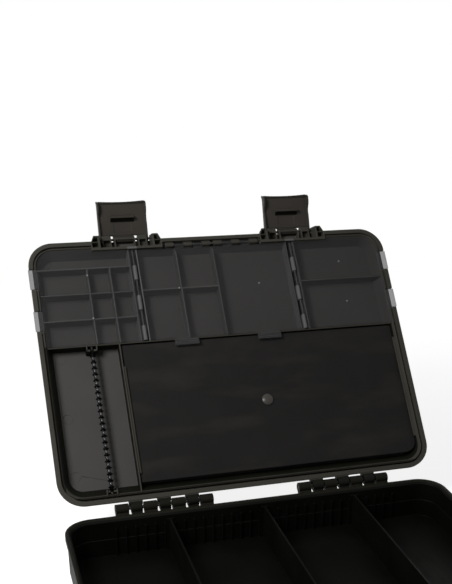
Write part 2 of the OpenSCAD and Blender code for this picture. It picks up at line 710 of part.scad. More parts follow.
module side_wire(side) color([0.1, 0.1, 0.1]) on_lid()
  translate([side * side_axis_x, -door_rear_v - 0.4, door_axis_d]) rotate([90, 0, 0])
    cylinder(h = door_front_v - door_rear_v - 0.8, r = wire_r);
module door_wire_left() side_wire(-1);
module door_wire_right() side_wire(1);
module door_wire_middle() color([0.1, 0.1, 0.1]) on_lid()
  translate([0, -front_axis_v, door_axis_d])
    rod_x_axis(-front_hinge_half + 0.4, front_hinge_half - 0.4, wire_r);

// ---- board, stud and hook rail ----

module rig_board() color([0.13, 0.13, 0.125]) on_lid() difference() {
  intersection() {
    lid_box(bay_divider_x + half_t + board_gap, case_w / 2, board_rear_v,
      bay_wall_v - half_t - board_gap, board_d, lid_depth);
    lid_hollow(-board_gap);
  }
  translate([stud_x, -stud_v, 0]) cylinder(h = lid_h, r = stud_shank_r + 0.05);
}

module board_stud() color([0.2, 0.19, 0.18]) on_lid() translate([stud_x, -stud_v, 0]) {
  translate([0, 0, board_d - 0.8]) cylinder(h = 0.8, r = stud_r);
  // low dome: the cap of a ball
  intersection() {
    translate([0, 0, board_d - 0.8 - 1.8 + 9.3]) sphere(r = 9.3);
    translate([0, 0, board_d - 3]) cylinder(h = 2.3, r = stud_r - 0.3);
  }
  translate([0, 0, board_d - eps]) cylinder(h = lid_depth + stud_socket - board_d, r = stud_shank_r);
}

module hook_rail() color([0.06, 0.06, 0.06]) on_lid() translate([rod_x, 0, rod_d]) {
  translate([0, -rod_rear_v, 0]) rotate([90, 0, 0])
    cylinder(h = rod_front_v - rod_rear_v, r = rod_core_r);
  for (i = [0:rod_rings - 1])
    translate([0, -rod_first_v - i * rod_pitch + rod_ring_t / 2, 0]) rotate([90, 0, 0])
      cylinder(h = rod_ring_t, r = rod_ring_r);
}

// ---- dividers ----

module divider(slot) color([0.1, 0.1, 0.09])
  translate([(slot + 0.5) * rib_pitch, 0, divider_z]) {
    end_y = rear_y - divider_end_in;
    translate([-divider_t / 2, -end_y, 0]) cube([divider_t, 2 * end_y, divider_h]);
    for (s = [-1, 1])
      translate([-divider_end_w / 2, s > 0 ? end_y - divider_end_t : -end_y, 0])
        cube([divider_end_w, divider_end_t, divider_h]);
  }
module divider_left() divider(divider_slots[0]);
module divider_middle() divider(divider_slots[1]);
module divider_right() divider(divider_slots[2]);

base_shell();
lid_shell();
hinge_pin_left();
hinge_pin_right();
latch_left();
latch_right();
latch_pin_left();
latch_pin_right();
door_left_front();
door_left_rear();
door_middle_left();
door_middle_right();
door_right_front();
door_right_rear();
door_wire_left();
door_wire_middle();
door_wire_right();
rig_board();
board_stud();
hook_rail();
divider_left();
divider_middle();
divider_right();
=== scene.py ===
# %% [markdown]
# # A hinged tackle box, standing open
#
# The box is a flat case of moulded plastic. Its lid leans back on a stop and holds small
# compartments under six clear doors, a foam rig board and a ribbed rail for hook packets.
# The shells, doors, latches and pins come from the construction model at their real size.
# Blender adds what that model doesn't hold: soft edges, the foam board, small moulded
# details, and a finish for every surface. Everything is in metres, in the model's frame.

# %% Load the model
import json
import math
import bpy
import bmesh
from mathutils import Matrix, Vector


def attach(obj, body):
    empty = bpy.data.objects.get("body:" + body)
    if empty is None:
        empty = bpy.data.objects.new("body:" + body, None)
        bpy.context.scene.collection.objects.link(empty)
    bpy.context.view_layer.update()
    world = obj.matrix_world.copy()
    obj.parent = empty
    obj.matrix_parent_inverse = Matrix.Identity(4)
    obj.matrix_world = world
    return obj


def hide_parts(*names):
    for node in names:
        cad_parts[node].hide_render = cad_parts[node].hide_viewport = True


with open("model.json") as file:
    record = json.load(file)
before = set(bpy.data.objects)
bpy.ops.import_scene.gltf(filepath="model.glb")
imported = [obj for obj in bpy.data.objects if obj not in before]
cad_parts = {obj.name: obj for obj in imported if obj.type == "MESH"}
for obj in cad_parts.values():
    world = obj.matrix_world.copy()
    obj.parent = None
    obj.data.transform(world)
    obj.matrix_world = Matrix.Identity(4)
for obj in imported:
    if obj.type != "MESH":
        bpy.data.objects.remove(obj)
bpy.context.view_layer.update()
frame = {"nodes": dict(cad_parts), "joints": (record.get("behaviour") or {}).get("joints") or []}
NODES = frame["nodes"]
MM = 0.001

# %% [markdown]
# ## The leaning lid's own frame
#
# The lid is a flat tray turned back about its hinge, so its pieces are easiest to place as
# they lie when it is shut: x across, v forwards from the rear rim, and d into the lid from
# its rim. One matrix then turns a finished mesh to where it stands. The hinge's position is
# read from the model, so the two can't drift apart.

# %% From the lid's frame to the model's
LID_OPEN = math.radians(130)
AXIS_BACK, AXIS_UP = 6 * MM, 2.8 * MM
LID_DEPTH = 257  # from the rear rim to the front rim, in millimetres
hinge = next(j for j in frame["joints"] if j["name"] == "lid_hinge")["pos_m"]
LID = (Matrix.Translation(hinge) @ Matrix.Rotation(-LID_OPEN, 4, "X")
       @ Matrix.Translation((0, -AXIS_BACK, -AXIS_UP)))


def on_lid(x, v, d):
    """A point of the lid, given in millimetres, in the model's frame."""
    return LID @ (Vector((x, -v, d)) * MM)


print("top of the lid's rim:", [round(c, 3) for c in on_lid(0, LID_DEPTH, 0)])

# %% [markdown]
# ## Camera
#
# The photo looks down on the lid from the left. The focal length, place and turn come from
# matching the rims and hinges of the photo, in a picture of 452 by 584 pixels. The photo is
# a crop from the upper part of a larger frame, so the lens is shifted up a little.

# %% Camera at the photo's viewing angle
PICTURE_W, PICTURE_H = 452, 584
FOCAL_PX = 998
CENTRE_PX = (265, 450)
CAMERA_AT = Vector((-246.9, -656.2, 465.1)) * MM
TURN, DOWN, ROLL = math.radians(17.839), math.radians(24.554), math.radians(1.319)


def make_camera():
    data = bpy.data.cameras.new("camera")
    data.sensor_width = 36
    data.lens = FOCAL_PX * data.sensor_width / PICTURE_H
    data.shift_x = (PICTURE_W / 2 - CENTRE_PX[0]) / PICTURE_H
    data.shift_y = (CENTRE_PX[1] - PICTURE_H / 2) / PICTURE_H
    data.clip_start, data.clip_end = 0.01, 50
    ahead = Vector((math.sin(TURN) * math.cos(DOWN), math.cos(TURN) * math.cos(DOWN), -math.sin(DOWN)))
    level = Vector((math.cos(TURN), -math.sin(TURN), 0))
    up = level.cross(ahead)
    right = math.cos(ROLL) * level + math.sin(ROLL) * up
    up = right.cross(ahead)
    camera = bpy.data.objects.new("camera", data)
    camera.matrix_world = Matrix.Translation(CAMERA_AT) @ Matrix((right, up, -ahead)).transposed().to_4x4()
    bpy.context.scene.collection.objects.link(camera)
    bpy.context.scene.camera = camera
    return camera


camera = make_camera()
print("lens in mm:", round(camera.data.lens, 1))
print("shift:", round(camera.data.shift_x, 3), round(camera.data.shift_y, 3))

# %% [markdown]
# ## Floor, world and lamps
#
# The photo is a product shot on white. The world is white where the camera, gloss or clear
# plastic looks at it, and a quieter grey where it only lights things. The floor is pale and
# matt, with some of its own light towards the camera, so it stays near white and still takes
# the box's shadow. Further out it fades to the same white as the world, so no horizon shows.
# In the photo the light falls from above on the left: it fades to the right across the lid,
# and what faces down, such as the underside of each latch's hook, is black. So the main lamp
# hangs near, high on the left, and a weaker one behind lights the outside of the lid, which
# the photo doesn't show.

# %% A material and its common nodes
def new_material(name):
    material = bpy.data.materials.new(name)
    material.use_nodes = True
    return material, material.node_tree.nodes, material.node_tree.links


def maths(nodes, links, operation, *inputs):
    """One step of arithmetic on numbers and other nodes' outputs."""
    node = nodes.new("ShaderNodeMath")
    node.operation = operation
    for socket, value in zip(node.inputs, inputs):
        if isinstance(value, (int, float)):
            socket.default_value = value
        else:
            links.new(value, socket)
    return node.outputs[0]


def spread(nodes, links, value, low, high, start=0.3, stop=0.7, smooth=False):
    """Maps start to low and stop to high. The defaults are the usual limits of a cloud."""
    ramp = nodes.new("ShaderNodeMapRange")
    if smooth:
        ramp.interpolation_type = "SMOOTHSTEP"
    ramp.inputs["From Min"].default_value, ramp.inputs["From Max"].default_value = start, stop
    ramp.inputs["To Min"].default_value, ramp.inputs["To Max"].default_value = low, high
    links.new(value, ramp.inputs["Value"])
    return ramp.outputs["Result"]


def seen(nodes, links):
    """1 for rays from the camera, off gloss and through clear plastic, else 0."""
    path = nodes.new("ShaderNodeLightPath")
    either = maths(nodes, links, "MAXIMUM", path.outputs["Is Camera Ray"], path.outputs["Is Glossy Ray"])
    return maths(nodes, links, "MAXIMUM", either, path.outputs["Is Transmission Ray"])


# %% White world
FILL = 0.06


def make_world():
    world = bpy.data.worlds.new("white")
    world.use_nodes = True
    nodes, links = world.node_tree.nodes, world.node_tree.links
    background = nodes["Background"]
    background.inputs["Color"].default_value = (1, 1, 1, 1)
    strength = spread(nodes, links, seen(nodes, links), FILL, 1, start=0, stop=1)
    links.new(strength, background.inputs["Strength"])
    bpy.context.scene.world = world


make_world()
bpy.context.scene.view_settings.view_transform = "Standard"
print("world light", FILL)

# %% Pale floor
FLOOR_HALF, FLOOR_MIDDLE_Y = 3.0, 1.2
FLOOR_OWN_LIGHT = 0.8
FADE_FROM, FADE_TO = 0.35, 1.1  # how far from the box the floor turns plain white


def make_floor():
    mesh = bmesh.new()
    bmesh.ops.create_grid(mesh, x_segments=1, y_segments=1, size=FLOOR_HALF)
    bmesh.ops.translate(mesh, verts=mesh.verts, vec=(0, FLOOR_MIDDLE_Y, 0))
    data = bpy.data.meshes.new("floor")
    mesh.to_mesh(data)
    mesh.free()
    floor = bpy.data.objects.new("floor", data)
    bpy.context.scene.collection.objects.link(floor)
    material, nodes, links = new_material("pale_floor")
    shader = nodes["Principled BSDF"]
    shader.inputs["Base Color"].default_value = (0.55, 0.55, 0.55, 1)
    shader.inputs["Roughness"].default_value = 0.9
    shader.inputs["Specular IOR Level"].default_value = 0
    shader.inputs["Emission Color"].default_value = (1, 1, 1, 1)
    glow = maths(nodes, links, "MULTIPLY", seen(nodes, links), FLOOR_OWN_LIGHT)
    links.new(glow, shader.inputs["Emission Strength"])
    # the fade to plain white
    plain = nodes.new("ShaderNodeEmission")
    links.new(spread(nodes, links, seen(nodes, links), FILL, 1, start=0, stop=1), plain.inputs["Strength"])
    distance = nodes.new("ShaderNodeVectorMath")
    distance.operation = "LENGTH"
    links.new(nodes.new("ShaderNodeTexCoord").outputs["Object"], distance.inputs[0])
    fade = spread(nodes, links, distance.outputs["Value"], 0, 1, FADE_FROM, FADE_TO, smooth=True)
    mix = nodes.new("ShaderNodeMixShader")
    links.new(fade, mix.inputs["Fac"])
    links.new(shader.outputs["BSDF"], mix.inputs[1])
    links.new(plain.outputs["Emission"], mix.inputs[2])
    links.new(mix.outputs["Shader"], nodes["Material Output"].inputs["Surface"])
    data.materials.append(material)


make_floor()
print("floor", 2 * FLOOR_HALF, "m square")

# %% Lamps
def add_lamp(name, place, target, size, watts):
    data = bpy.data.lights.new(name, "AREA")
    data.shape = "DISK"
    data.size, data.energy = size, watts
    lamp = bpy.data.objects.new(name, data)
    lamp.matrix_world = (Matrix.Translation(place)
                         @ (Vector(target) - Vector(place)).to_track_quat("-Z", "Y").to_matrix().to_4x4())
    lamp.visible_camera = False
    bpy.context.scene.collection.objects.link(lamp)


add_lamp("key_left", place=(-0.6, -0.25, 0.75), target=(0, 0.2, 0.12), size=0.35, watts=7.5)
add_lamp("behind", place=(0.5, 1.8, 0.5), target=(0, 0.2, 0.1), size=1.0, watts=10)

# %% [markdown]
# ## Moulded plastic
#
# The shells are dark olive polypropylene with a fine spark-eroded grain, a slight sheen and
# a cloudy variation where the plastic flowed. Paint would hide the grain and a plain colour
# would look like a drawing, so the material has three layers: slow clouds that shift colour
# and gloss, a fine grain as bump, and thin scuffs that roughen it a little. All of them read
# the object's coordinates, in metres, so the grain has its real size on every piece.

# %% Moulded plastic material
def noise(nodes, links, coords, size_mm, detail=3, stretch=(1, 1, 1)):
    """Clouds of about this size, from 0 to 1."""
    mapping = nodes.new("ShaderNodeMapping")
    mapping.inputs["Scale"].default_value = stretch
    texture = nodes.new("ShaderNodeTexNoise")
    texture.inputs["Scale"].default_value = 1 / (size_mm * MM)
    texture.inputs["Detail"].default_value = detail
    links.new(coords, mapping.inputs["Vector"])
    links.new(mapping.outputs["Vector"], texture.inputs["Vector"])
    return texture.outputs["Fac"]


def tint(nodes, links, factor, first, second):
    """Mixes two colours, each given as numbers or as another node's output."""
    mix = nodes.new("ShaderNodeMix")
    mix.data_type = "RGBA"
    links.new(factor, mix.inputs["Factor"])
    for name, colour in (("A", first), ("B", second)):
        if isinstance(colour, tuple):
            mix.inputs[name].default_value = (*colour, 1)
        else:
            links.new(colour, mix.inputs[name])
    return mix.outputs["Result"]


def raise_surface(nodes, links, height, depth_mm, below=None):
    bump = nodes.new("ShaderNodeBump")
    bump.inputs["Distance"].default_value = depth_mm * MM
    bump.inputs["Strength"].default_value = 1
    links.new(height, bump.inputs["Height"])
    if below is not None:
        links.new(below, bump.inputs["Normal"])
    return bump.outputs["Normal"]


ACROSS, FORWARDS, INWARDS = (1, 0, 0), (0, 1, 0), (0, 0, 1)


def in_lid(nodes, links, coords, way, start_mm, stop_mm, origin=(0, 0, 0)):
    """From 0 to 1 between two places along a direction in the lid's frame, measured from the origin."""
    along = nodes.new("ShaderNodeVectorMath")
    along.operation = "DOT_PRODUCT"
    links.new(coords, along.inputs[0])
    direction = (on_lid(*way) - on_lid(0, 0, 0)) / MM
    along.inputs[1].default_value = direction
    zero = on_lid(*origin).dot(direction)
    return spread(nodes, links, along.outputs["Value"], 0, 1, zero + start_mm * MM, zero + stop_mm * MM,
                  smooth=True)


def axes(nodes, links, coords):
    split = nodes.new("ShaderNodeSeparateXYZ")
    links.new(coords, split.inputs["Vector"])
    return split.outputs


def near_x(nodes, links, coords, centre_mm, half_mm):
    """1 in a strip at this distance from the box's middle, on both sides, else 0."""
    aside = maths(nodes, links, "ABSOLUTE", axes(nodes, links, coords)["X"])
    return maths(nodes, links, "COMPARE", aside, centre_mm * MM, half_mm * MM)


def every(nodes, links, first, *others):
    """The product of masks: 1 where all of them are."""
    for other in others:
        first = maths(nodes, links, "MULTIPLY", first, other)
    return first


def opposite(nodes, links, mask):
    return maths(nodes, links, "SUBTRACT", 1, mask)


def moulded_plastic(name, dark, light, gloss=(0.42, 0.6), grain_mm=0.45, grain_depth=0.015, specular=0.1,
                    tones=None):
    """Plastic from dark to light in slow clouds. Tones adds painted light and shade over it."""
    material, nodes, links = new_material(name)
    shader = nodes["Principled BSDF"]
    shader.inputs["Specular IOR Level"].default_value = specular
    coords = nodes.new("ShaderNodeTexCoord").outputs["Object"]
    clouds = noise(nodes, links, coords, size_mm=45, detail=4)
    slow = spread(nodes, links, clouds, 0, 1)
    colour = tint(nodes, links, slow, dark, light)
    if tones is not None:
        colour = tones(nodes, links, coords, slow, colour)
    links.new(colour, shader.inputs["Base Color"])
    scuffs = noise(nodes, links, coords, size_mm=4, detail=5, stretch=(1, 0.15, 1))
    roughness = maths(nodes, links, "ADD", spread(nodes, links, clouds, *gloss),
                      spread(nodes, links, scuffs, 0, 0.1, start=0.5, stop=0.75))
    links.new(roughness, shader.inputs["Roughness"])
    grain = noise(nodes, links, coords, grain_mm, detail=2)
    links.new(raise_surface(nodes, links, grain, grain_depth), shader.inputs["Normal"])
    return material


def dress(material, *names):
    """Gives construction pieces a finish."""
    for name in names:
        node = NODES[name]
        node.data.materials.clear()
        node.data.materials.append(material)
    print(material.name, "on", ", ".join(names))


# %% [markdown]
# ## Soft edges
#
# No moulded edge is truly sharp. A cutter leaves a small radius in the mould, and that
# radius catches a thin line of light, which is most of what shows on a dark box. The
# construction pieces come as loose triangles, so five modifiers do it without touching the
# mesh: Weld joins the triangles, Decimate in its dissolve mode makes them flat faces again,
# Triangulate splits those evenly, since faces with holes would fold over when their corners
# move, Bevel rounds each edge above a limit, and Weighted Normal keeps the large faces flat.
# A small node group between them marks all faces smooth, which Bevel and the normals need.

# %% Modifiers that round the edges of construction pieces
def smooth_faces_group():
    group = bpy.data.node_groups.new("smooth_faces", "GeometryNodeTree")
    group.interface.new_socket("Geometry", in_out="INPUT", socket_type="NodeSocketGeometry")
    group.interface.new_socket("Geometry", in_out="OUTPUT", socket_type="NodeSocketGeometry")
    start, end = group.nodes.new("NodeGroupInput"), group.nodes.new("NodeGroupOutput")
    smooth = group.nodes.new("GeometryNodeSetShadeSmooth")
    group.links.new(start.outputs[0], smooth.inputs["Geometry"])
    group.links.new(smooth.outputs[0], end.inputs[0])
    return group


SMOOTH_FACES = smooth_faces_group()
WELD_MM = 0.01
FLAT_WITHIN = math.radians(0.6)
ROUND_ABOVE = math.radians(30)


def soften(radius_mm, *names, segments=2):
    for name in names:
        piece = NODES[name]
        weld = piece.modifiers.new("weld", "WELD")
        weld.merge_threshold = WELD_MM * MM
        flat = piece.modifiers.new("flat faces", "DECIMATE")
        flat.decimate_type = "DISSOLVE"
        flat.angle_limit = FLAT_WITHIN
        split = piece.modifiers.new("split faces", "TRIANGULATE")
        split.ngon_method = "BEAUTY"
        smooth = piece.modifiers.new("smooth faces", "NODES")
        smooth.node_group = SMOOTH_FACES
        edge = piece.modifiers.new("soft edge", "BEVEL")
        edge.width = radius_mm * MM
        edge.segments = segments
        edge.limit_method = "ANGLE"
        edge.angle_limit = ROUND_ABOVE
        edge.use_clamp_overlap = False
        normals = piece.modifiers.new("even normals", "WEIGHTED_NORMAL")
        normals.mode = "FACE_AREA"
        normals.weight = 50
    print("edges rounded to", radius_mm, "mm on", len(names), "pieces")


soften(0.35, "lid_shell", "base_shell")
soften(0.3, "latch_left", "latch_right", "divider_left", "divider_middle", "divider_right")
soften(0.15, "door_left_front", "door_left_rear", "door_middle_left", "door_middle_right",
       "door_right_front", "door_right_rear")

# %% [markdown]
# ## Painted light and shade on the shells and latches
#
# These tones are painted light and shade. The lid's floor and the walls under the doors are
# painted paler, which is painted light; its steep sides, the hinge side behind its rim and
# the base's inside are painted nearly black, which is painted shade; the left and rear strips
# inside its rim get a lighter painted shade; the top edges of the walls under the doors are
# painted highlights, and its channels are painted lighter, which is painted light. Separate
# pieces for these would split one moulding, so one material paints its tones over each other.
# Each mask is a range of distances in the lid's frame: how far inwards from its rim, forwards
# from its rear or across it. The latch has the same kind of masks along its plate, for painted
# shadow under the hook and painted shade on the curled tip, and the base has one for painted
# shade inside it.

# %% Painted light and shade on the shells and latches
# Near black painted shade: the lid's steep sides, behind its rim, under the latch's hook
BLACK_SHADE = (0.004, 0.004, 0.003), (0.006, 0.006, 0.004)
# Lighter painted shade: left and rear strips inside the rim, the latch's curled tip
SHADED = (0.010, 0.0095, 0.007), (0.014, 0.013, 0.010)
# Painted shade inside the base
BASE_INSIDE_SHADE = (0.0020, 0.0020, 0.0015), (0.0028, 0.0028, 0.0021)
# Painted light: the lid's paler floor and the walls under the doors
LIT_PALE = (0.064, 0.062, 0.059), (0.071, 0.069, 0.065)
# Painted highlights on the top edges of the walls under the doors
EDGE_HIGHLIGHTS_BELOW_DOORS = (0.11, 0.108, 0.104), (0.13, 0.128, 0.124)
# Painted light in the channels between the doors
CHANNEL_LIGHT = (0.105, 0.102, 0.104), (0.13, 0.127, 0.129)

# the lid's places, in mm: pairs are the start and end of a change
INSIDE_X, INSIDE_REAR_V, CAVITY_FRONT_V = 176, (3.7, 4), (249.6, 249.9)
BAY_WALL_V, BEHIND_LID_V = (152.7, 153.2), (-1.2, -0.6)
LEFT_LIP_X, REAR_LIP_V = (-172.5, -172), (7.6, 8.1)
GROOVE_D, EDGE_D, UNDER_EDGE_D, SLOPE_D = (0.5, 0.8), (2.6, 2.9), (3.3, 3.6), (3.4, 4.2)
FLOOR_D, BELOW_FLOOR_D = (14.2, 14.9), (15.2, 15.4)
CHANNEL_X, CHANNEL_HALF = 80.2, 4.7


def lid_tones(nodes, links, coords, slow, colour):
    """The lid's painted light and shade: rim, steep sides, floor, wall edges under the doors, channels and
    hinge.
    """
    def place(way, limits):
        return in_lid(nodes, links, coords, way, *limits)

    def where(*masks):
        return every(nodes, links, *masks)

    def other(mask):
        return opposite(nodes, links, mask)

    def paint(colour, mask, pair):
        return tint(nodes, links, mask, colour, tint(nodes, links, slow, *pair))

    past_wall = place(FORWARDS, BAY_WALL_V)
    inside = where(near_x(nodes, links, coords, 0, INSIDE_X), place(FORWARDS, INSIDE_REAR_V),
                   other(place(INWARDS, BELOW_FLOOR_D)))
    under_doors = where(inside, past_wall, other(place(FORWARDS, CAVITY_FRONT_V)))
    behind_wall = where(inside, other(past_wall))
    on_lips = where(place(ACROSS, LEFT_LIP_X), place(FORWARDS, REAR_LIP_V))
    # painted shade, near black, on the steep sides behind the bay wall
    colour = paint(colour, where(behind_wall, place(INWARDS, SLOPE_D)), BLACK_SHADE)
    # lighter painted shade on the left and rear strips inside the rim
    colour = paint(colour, where(behind_wall, place(INWARDS, GROOVE_D), other(on_lips)), SHADED)
    # painted highlights on the top edges of the walls under the doors
    colour = paint(colour, where(under_doors, place(INWARDS, EDGE_D)), EDGE_HIGHLIGHTS_BELOW_DOORS)
    # painted light on the walls below those edges
    colour = paint(colour, where(under_doors, place(INWARDS, UNDER_EDGE_D)), LIT_PALE)
    # painted light on the lid's floor
    colour = paint(colour, where(inside, place(INWARDS, FLOOR_D)), LIT_PALE)
    # painted light in the channels between the doors
    colour = paint(colour, where(under_doors, near_x(nodes, links, coords, CHANNEL_X, CHANNEL_HALF)), CHANNEL_LIGHT)
    # painted shade, near black, behind the rim by the hinge
    return paint(colour, other(place(FORWARDS, BEHIND_LID_V)), BLACK_SHADE)


LATCH_X, LATCH_PIN = 84.5, (0, 264, 13)
LATCH_SWING = math.radians(68)
ALONG_LATCH = (0, math.sin(LATCH_SWING), -math.cos(LATCH_SWING))
OFF_LATCH = (0, -math.cos(LATCH_SWING), -math.sin(LATCH_SWING))
HOOK_START, HOOK_END, HOOK_HALF = (16.4, 16.9), (20.2, 20.6), 11.7  # from the latch's pin
OFF_PLATE = (-1.1, -1.0)  # the hook begins where the plate's face ends
TIP_START, TIP_END = (33.4, 34.6), (35.8, 36.6)


def latch_tones(nodes, links, coords, slow, colour):
    """The latch's tones: painted shadow under the hook and painted shade on the curled tip."""
    def place(way, limits):
        return in_lid(nodes, links, coords, way, *limits, LATCH_PIN)

    def until(limits):
        return opposite(nodes, links, place(ALONG_LATCH, limits))

    under_hook = every(nodes, links, place(ALONG_LATCH, HOOK_START), until(HOOK_END),
                       place(OFF_LATCH, OFF_PLATE), near_x(nodes, links, coords, LATCH_X, HOOK_HALF))
    # painted shadow under the hook
    colour = tint(nodes, links, under_hook, colour, tint(nodes, links, slow, *BLACK_SHADE))
    tip = every(nodes, links, place(ALONG_LATCH, TIP_START), until(TIP_END))
    # painted shade on the curled tip
    return tint(nodes, links, tip, colour, tint(nodes, links, slow, *SHADED))


BASE_RIM_Z, BASE_INSIDE_X, BASE_INSIDE_Y = 38.6, 176.9, 125.4


def base_tones(nodes, links, coords, slow, colour):
    """The base's tones: painted shade inside it, below its rim."""
    place = axes(nodes, links, coords)
    inside = every(nodes, links, near_x(nodes, links, coords, 0, BASE_INSIDE_X),
                   maths(nodes, links, "COMPARE", place["Y"], 0, BASE_INSIDE_Y * MM),
                   maths(nodes, links, "LESS_THAN", place["Z"], BASE_RIM_Z * MM))
    # painted shade inside the base, below its rim
    return tint(nodes, links, inside, colour, tint(nodes, links, slow, *BASE_INSIDE_SHADE))


LID_OLIVE = (0.047, 0.045, 0.037), (0.055, 0.053, 0.044)
# The base is set far darker than the lid: partly its own colour and partly painted shade
BASE_OLIVE_AND_SHADE = (0.009, 0.0085, 0.006), (0.012, 0.0115, 0.0085)
LATCH_BROWN = (0.036, 0.032, 0.027), (0.045, 0.040, 0.034)
STUD_BROWN = (0.030, 0.026, 0.021), (0.040, 0.035, 0.029)
lid_plastic = moulded_plastic("lid_plastic", *LID_OLIVE, specular=0.07, tones=lid_tones)
base_plastic = moulded_plastic("base_plastic", *BASE_OLIVE_AND_SHADE, specular=0.05, tones=base_tones)
latch_plastic = moulded_plastic("latch_plastic", *LATCH_BROWN, gloss=(0.35, 0.5), grain_mm=0.9,
                                grain_depth=0.01, tones=latch_tones)
stud_plastic = moulded_plastic("stud_plastic", *STUD_BROWN, gloss=(0.25, 0.35), grain_mm=1.5,
                               grain_depth=0.01, specular=0.3)
dress(lid_plastic, "lid_shell")
dress(base_plastic, "base_shell", "divider_left", "divider_middle", "divider_right")
dress(latch_plastic, "latch_left", "latch_right")
dress(stud_plastic, "board_stud")

# %% [markdown]
# ## Clear doors
#
# The doors are clear polystyrene, slightly smoked. Their sheet is thin and flat, so the bend
# that it gives to light can't be seen, while full glass would light the compartments under it
# only by slow, speckled caustics. So the plastic is mostly see-through, with a thin veil of
# its own colour, and it gets denser where the eye meets it at a flat angle, at edges and
# knuckles. The clips at both sides and the tabs over the board are thicker, so they hide
# more. Slow waves from moulding bend the sheen a little.

# %% Clear plastic material
SMOKE = (0.055, 0.054, 0.055), (0.075, 0.073, 0.074)
VEIL, EDGE_VEIL = 0.2, 0.75  # how much the plastic hides, seen straight on and along its face
CLIP_VEIL, CLIP_FROM_MM, CLIP_TO_MM = 0.3, 173, 175  # outwards from the middle
TAB_VEIL, TAB_FROM_MM, TAB_TO_MM = 0.3, 151.2, 151.6  # forwards from the lid's rear rim


def clear_plastic(name):
    material, nodes, links = new_material(name)
    shader = nodes["Principled BSDF"]
    shader.inputs["Specular IOR Level"].default_value = 0.08
    coords = nodes.new("ShaderNodeTexCoord").outputs["Object"]
    haze = noise(nodes, links, coords, size_mm=60)
    smoke = tint(nodes, links, spread(nodes, links, haze, 0, 1), *SMOKE)
    links.new(smoke, shader.inputs["Base Color"])
    links.new(spread(nodes, links, haze, 0.45, 0.55), shader.inputs["Roughness"])
    facing = nodes.new("ShaderNodeLayerWeight")
    facing.inputs["Blend"].default_value = 0.5
    aside = maths(nodes, links, "ABSOLUTE", axes(nodes, links, coords)["X"])
    clip = spread(nodes, links, aside, 0, CLIP_VEIL, CLIP_FROM_MM * MM, CLIP_TO_MM * MM)
    tab = opposite(nodes, links, in_lid(nodes, links, coords, FORWARDS, TAB_FROM_MM, TAB_TO_MM))
    thick = maths(nodes, links, "MULTIPLY_ADD", tab, TAB_VEIL, clip)
    sheet = spread(nodes, links, facing.outputs["Facing"], VEIL, EDGE_VEIL, start=0.5, stop=1)
    links.new(maths(nodes, links, "ADD", sheet, thick), shader.inputs["Alpha"])
    waves = noise(nodes, links, coords, size_mm=40, detail=1)
    links.new(raise_surface(nodes, links, waves, depth_mm=0.05), shader.inputs["Normal"])
    return material


clear = clear_plastic("clear_plastic")
dress(clear, "door_left_front", "door_left_rear", "door_middle_left", "door_middle_right",
      "door_right_front", "door_right_rear")

# %% [markdown]
# ## Steel wire
#
# The hinge, latch and door pins are drawn wire with a blackened finish, so they don't shine
# in their channels. Fine streaks run along each pin, because drawing leaves them there.

# %% Drawn wire material
BLACKENED = (0.03, 0.03, 0.03), (0.06, 0.06, 0.06)


def drawn_wire(name):
    material, nodes, links = new_material(name)
    shader = nodes["Principled BSDF"]
    shader.inputs["Metallic"].default_value = 0.8
    coords = nodes.new("ShaderNodeTexCoord").outputs["Object"]
    streaks = noise(nodes, links, coords, size_mm=0.4, detail=4, stretch=(0.03, 1, 1))
    links.new(tint(nodes, links, streaks, *BLACKENED), shader.inputs["Base Color"])
    links.new(spread(nodes, links, streaks, 0.25, 0.4), shader.inputs["Roughness"])
    return material


steel = drawn_wire("steel")
dress(steel, "hinge_pin_left", "hinge_pin_right", "latch_pin_left", "latch_pin_right",
      "door_wire_left", "door_wire_middle", "door_wire_right")

# %% [markdown]
# ## Foam rig board
#
# The board is closed-cell foam: cut straight, but soft, so its edges are rounded, its faces
# aren't quite flat, and the stud pulls it down a little. It starts as a flat outline, gets
# its thickness by extruding, soft edges by bevelling, and its dips by moving the grid's
# points. It stands for the plain block of the construction model.

# %% Foam material
FOAM_SKIN = (0.014, 0.0134, 0.013), (0.0195, 0.0188, 0.0182)
FOAM_RUBBED = (0.030, 0.028, 0.025), (0.036, 0.034, 0.030)
FOAM_CELL_MM = 0.7


def foam(name):
    material, nodes, links = new_material(name)
    shader = nodes["Principled BSDF"]
    shader.inputs["Specular IOR Level"].default_value = 0.06
    coords = nodes.new("ShaderNodeTexCoord").outputs["Object"]
    clouds = noise(nodes, links, coords, size_mm=35, detail=4)
    slow = spread(nodes, links, clouds, 0, 1)
    skin = tint(nodes, links, slow, *FOAM_SKIN)
    rubbed = tint(nodes, links, clouds, *FOAM_RUBBED)
    smudges = noise(nodes, links, coords, size_mm=22, detail=5, stretch=(0.3, 1, 1))
    where = spread(nodes, links, smudges, 0, 0.55, start=0.5, stop=0.72)
    links.new(tint(nodes, links, where, skin, rubbed), shader.inputs["Base Color"])
    links.new(spread(nodes, links, clouds, 0.62, 0.8), shader.inputs["Roughness"])
    cells = nodes.new("ShaderNodeTexVoronoi")
    cells.inputs["Scale"].default_value = 1 / (FOAM_CELL_MM * MM)
    links.new(coords, cells.inputs["Vector"])
    pits = raise_surface(nodes, links, cells.outputs["Distance"], depth_mm=0.06)
    dents = noise(nodes, links, coords, size_mm=14)
    links.new(raise_surface(nodes, links, dents, depth_mm=0.25, below=pits), shader.inputs["Normal"])
    return material


foam_black = foam("foam")
print("foam cells in mm:", FOAM_CELL_MM)

